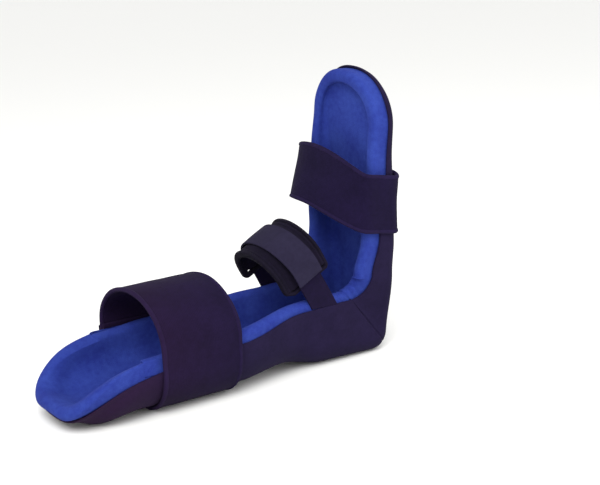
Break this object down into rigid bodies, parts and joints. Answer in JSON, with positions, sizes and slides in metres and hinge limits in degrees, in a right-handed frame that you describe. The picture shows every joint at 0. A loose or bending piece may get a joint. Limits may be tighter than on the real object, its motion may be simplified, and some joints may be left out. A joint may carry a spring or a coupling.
{
  "type": "ankle foot orthosis",
  "caption": "Padded right-angled ankle foot orthosis for a right foot: stiff trough under calf and sole with a foam liner, closed by wide calf and forefoot straps and a padded instep strap.",
  "frame": {"origin": "centre of the bounding box's lowest face, on the surface that the calf side lies on", "axes": "+X from the knee towards the outer face of the sole, +Z from the surface up to the toes, -Y the little-toe (lateral) side"},
  "size_m": [0.3618, 0.1306, 0.2873],
  "materials": {
    "cover_navy": "matt foam-backed knit",
    "liner_blue": "brushed loop fabric over foam",
    "strap_navy": "fine loop knit over thin foam",
    "edge_tape": "folded knit tape",
    "webbing_grey": "flat woven webbing",
    "pad_dark": "matt foam-backed knit",
    "pad_binding": "folded binding",
    "hook_tape": "moulded hooks on tape",
    "shell_plastic": "thermoformed sheet"
  },
  "bodies": {
    "trough": {"support_shell": "shell_plastic", "cover_calf_panel": "cover_navy", "cover_foot_panel": "cover_navy", "liner_calf": "liner_blue", "liner_foot": "liner_blue", "calf_strap_anchor": "strap_navy", "forefoot_strap_anchor": "strap_navy", "ankle_strap_anchor": "strap_navy", "ankle_tab_lateral": "strap_navy"},
    "calf_flap": {"calf_strap_flap": "strap_navy", "calf_strap_binding_proximal": "edge_tape", "calf_strap_binding_distal": "edge_tape"},
    "calf_tab": {"calf_strap_tab": "strap_navy", "calf_strap_hook": "hook_tape"},
    "forefoot_flap": {"forefoot_strap_flap": "strap_navy", "forefoot_strap_binding_proximal": "edge_tape", "forefoot_strap_binding_distal": "edge_tape"},
    "forefoot_tab": {"forefoot_strap_tab": "strap_navy", "forefoot_strap_hook": "hook_tape"},
    "ankle_band": {"ankle_strap": "webbing_grey", "ankle_strap_hook": "hook_tape", "instep_pad": "pad_dark", "instep_pad_binding": "pad_binding"}
  },
  "joints": [
    {"name": "calf_strap_open", "type": "hinge", "parent": "trough", "child": "calf_flap", "pos_m": [-0.0564, -0.06543, 0.06285], "axis": [1, 0, 0], "range_deg": [0, 115]},
    {"name": "calf_strap_peel", "type": "hinge", "parent": "calf_flap", "child": "calf_tab", "pos_m": [-0.0564, 0.06457, 0.04985], "axis": [1, 0, 0], "range_deg": [0, 90]},
    {"name": "forefoot_strap_open", "type": "hinge", "parent": "trough", "child": "forefoot_flap", "pos_m": [0.14125, -0.06243, 0.1545], "axis": [0, 0, 1], "range_deg": [0, 115]},
    {"name": "forefoot_strap_peel", "type": "hinge", "parent": "forefoot_flap", "child": "forefoot_tab", "pos_m": [0.15625, 0.06257, 0.176], "axis": [0, 0, 1], "range_deg": [0, 90]},
    {"name": "ankle_strap_open", "type": "hinge", "parent": "trough", "child": "ankle_band", "pos_m": [0.06957, 0.04067, 0.10648], "axis": [-0.8829, 0, -0.4695], "range_deg": [0, 110]}
  ]
}
